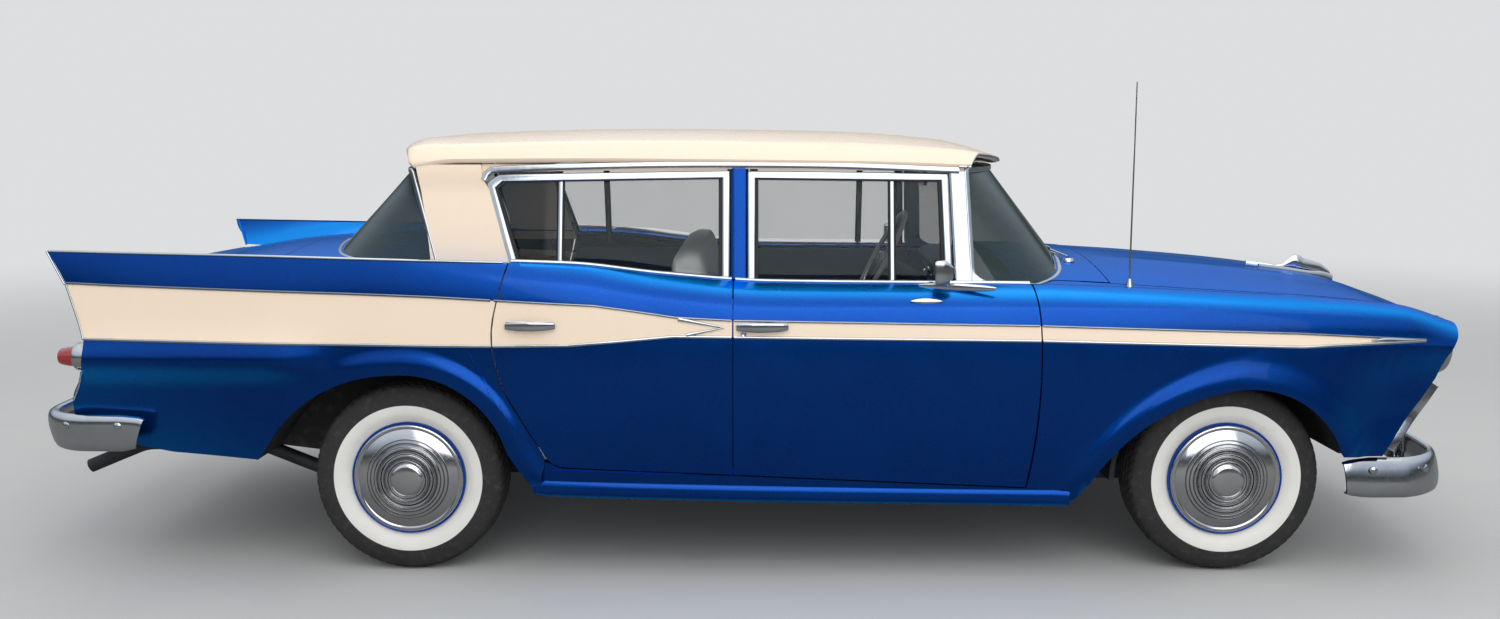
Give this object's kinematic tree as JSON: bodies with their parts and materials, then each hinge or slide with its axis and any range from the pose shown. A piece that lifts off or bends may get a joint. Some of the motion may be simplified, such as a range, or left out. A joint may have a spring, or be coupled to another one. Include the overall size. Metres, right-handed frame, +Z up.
{
  "type": "four-door tail-fin saloon car",
  "caption": "Late 1950s four-door saloon with tail fins, a wraparound windshield, opening doors, hood and boot lid, and wheels that roll and steer.",
  "frame": {"origin": "on the ground under the middle of the car's length and width", "axes": "+X forward, +Y to the car's left, +Z up"},
  "size_m": [4.855, 1.8554, 1.6399],
  "materials": {
    "body_paint": "gloss metallic blue",
    "roof_paint": "gloss cream",
    "chrome": "polished",
    "glass": "polished, faint green tint",
    "tyre": "satin rubber",
    "whitewall": "satin white rubber",
    "rim_paint": "gloss blue",
    "seat_cloth": "woven grey cloth",
    "seat_bolster": "pale grained vinyl",
    "interior_trim": "dark grained trim",
    "wheel_rim_plastic": "gloss moulded rim",
    "underbody": "matte black chassis paint",
    "cast_iron": "rough casting",
    "bare_steel": "dull steel",
    "lamp_glass": "fluted clear lens",
    "red_lens": "red lens",
    "seal": "matte black seal"
  },
  "bodies": {
    "body": {"floor_pan": "underbody", "side_frames": "body_paint", "engine_bay": "body_paint", "roof": "roof_paint", "quarter_panel_right": "body_paint", "quarter_panel_left": "body_paint", "rear_deck": "body_paint", "tail_panel": "body_paint", "front_fender_right": "body_paint", "front_fender_left": "body_paint", "front_panel": "body_paint", "windshield": "glass", "rear_window": "glass", "front_bumper": "chrome", "rear_bumper": "chrome", "grille": "chrome", "headlamps": "lamp_glass", "tail_lamps": "red_lens", "dashboard": "interior_trim", "front_seat": "seat_cloth", "rear_seat": "seat_cloth", "engine": "cast_iron", "exhaust": "bare_steel", "fuel_tank": "underbody", "front_suspension": "underbody", "rear_axle": "underbody", "antenna": "chrome"},
    "hood": {"hood": "body_paint"},
    "trunk_lid": {"trunk_lid": "body_paint"},
    "steering_wheel": {"steering_wheel": "wheel_rim_plastic"},
    "front_door_right": {"front_door_right": "body_paint", "front_door_glass_right": "glass"},
    "rear_door_right": {"rear_door_right": "body_paint", "rear_door_glass_right": "glass"},
    "knuckle_right": {"knuckle_right": "underbody"},
    "wheel_front_right": {"tyre_front_right": "tyre", "wheel_front_right": "chrome"},
    "wheel_rear_right": {"tyre_rear_right": "tyre", "wheel_rear_right": "chrome"},
    "front_door_left": {"front_door_left": "body_paint", "front_door_glass_left": "glass"},
    "rear_door_left": {"rear_door_left": "body_paint", "rear_door_glass_left": "glass"},
    "knuckle_left": {"knuckle_left": "underbody"},
    "wheel_front_left": {"tyre_front_left": "tyre", "wheel_front_left": "chrome"},
    "wheel_rear_left": {"tyre_rear_left": "tyre", "wheel_rear_left": "chrome"}
  },
  "joints": [
    {"name": "front_door_right_hinge", "type": "hinge", "parent": "body", "child": "front_door_right", "pos_m": [0.974, -0.898, 0.6], "axis": [0, 0, 1], "range_deg": [0, 65]},
    {"name": "rear_door_right_hinge", "type": "hinge", "parent": "body", "child": "rear_door_right", "pos_m": [-0.005, -0.898, 0.6], "axis": [0, 0, 1], "range_deg": [0, 65]},
    {"name": "steer_right", "type": "hinge", "parent": "body", "child": "knuckle_right", "pos_m": [1.595, -0.66, 0.322], "axis": [0, 0, 1], "range_deg": [-30, 30]},
    {"name": "wheel_front_right_spin", "type": "hinge", "parent": "knuckle_right", "child": "wheel_front_right", "pos_m": [1.595, -0.735, 0.322], "axis": [0, 1, 0], "continuous": true},
    {"name": "wheel_rear_right_spin", "type": "hinge", "parent": "body", "child": "wheel_rear_right", "pos_m": [-1.148, -0.735, 0.322], "axis": [0, 1, 0], "continuous": true},
    {"name": "front_door_left_hinge", "type": "hinge", "parent": "body", "child": "front_door_left", "pos_m": [0.974, 0.898, 0.6], "axis": [0, 0, -1], "range_deg": [0, 65]},
    {"name": "rear_door_left_hinge", "type": "hinge", "parent": "body", "child": "rear_door_left", "pos_m": [-0.005, 0.898, 0.6], "axis": [0, 0, -1], "range_deg": [0, 65]},
    {"name": "steer_left", "type": "hinge", "parent": "body", "child": "knuckle_left", "pos_m": [1.595, 0.66, 0.322], "axis": [0, 0, 1], "range_deg": [-30, 30]},
    {"name": "wheel_front_left_spin", "type": "hinge", "parent": "knuckle_left", "child": "wheel_front_left", "pos_m": [1.595, 0.735, 0.322], "axis": [0, 1, 0], "continuous": true},
    {"name": "wheel_rear_left_spin", "type": "hinge", "parent": "body", "child": "wheel_rear_left", "pos_m": [-1.148, 0.735, 0.322], "axis": [0, 1, 0], "continuous": true},
    {"name": "hood_hinge", "type": "hinge", "parent": "body", "child": "hood", "pos_m": [1.233, 0, 1.048], "axis": [0, -1, 0], "range_deg": [0, 50]},
    {"name": "trunk_lid_hinge", "type": "hinge", "parent": "body", "child": "trunk_lid", "pos_m": [-1.6375, 0, 1.102], "axis": [0, 1, 0], "range_deg": [0, 70]},
    {"name": "steering_wheel_turn", "type": "hinge", "parent": "body", "child": "steering_wheel", "pos_m": [0.54, 0.36, 0.955], "axis": [-0.8829, 0, 0.4695], "range_deg": [-540, 540]}
  ],
  "couplings": [
    {"joint": "steer_left", "follows": "steer_right", "ratio": 1},
    {"joint": "steering_wheel_turn", "follows": "steer_right", "ratio": 18}
  ]
}
